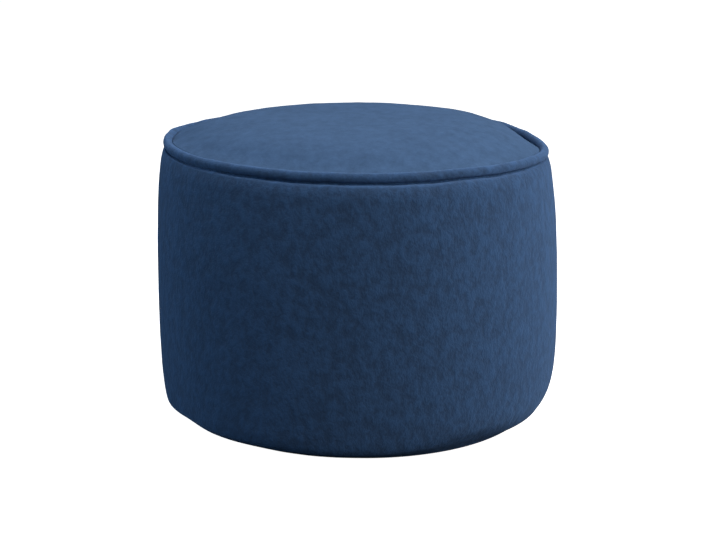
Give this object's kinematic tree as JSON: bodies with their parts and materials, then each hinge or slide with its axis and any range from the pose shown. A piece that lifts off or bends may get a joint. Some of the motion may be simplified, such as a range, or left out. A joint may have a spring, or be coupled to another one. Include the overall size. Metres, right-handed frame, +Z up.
{
  "type": "round footstool",
  "caption": "Round stuffed footstool in short-pile cloth, with a crowned top, a piped top seam, slightly barrelled sides and a flat base.",
  "frame": {"origin": "on the floor under the middle of the footstool", "axes": "+Z up, -Y the front as pictured, +X the side with the fuller lower edge"},
  "size_m": [0.5001, 0.4998, 0.3707],
  "materials": {
    "side_cloth": "navy short-pile microsuede with a soft sheen at grazing angles",
    "top_cloth": "navy short-pile microsuede, brighter where the light falls on it",
    "piping_cloth": "the same navy microsuede, stretched over a cord",
    "base_cloth": "the same navy microsuede, laid flat"
  },
  "bodies": {
    "root": {"filled_body": "side_cloth", "top_panel": "top_cloth", "top_piping": "piping_cloth", "base_panel": "base_cloth"}
  },
  "joints": []
}
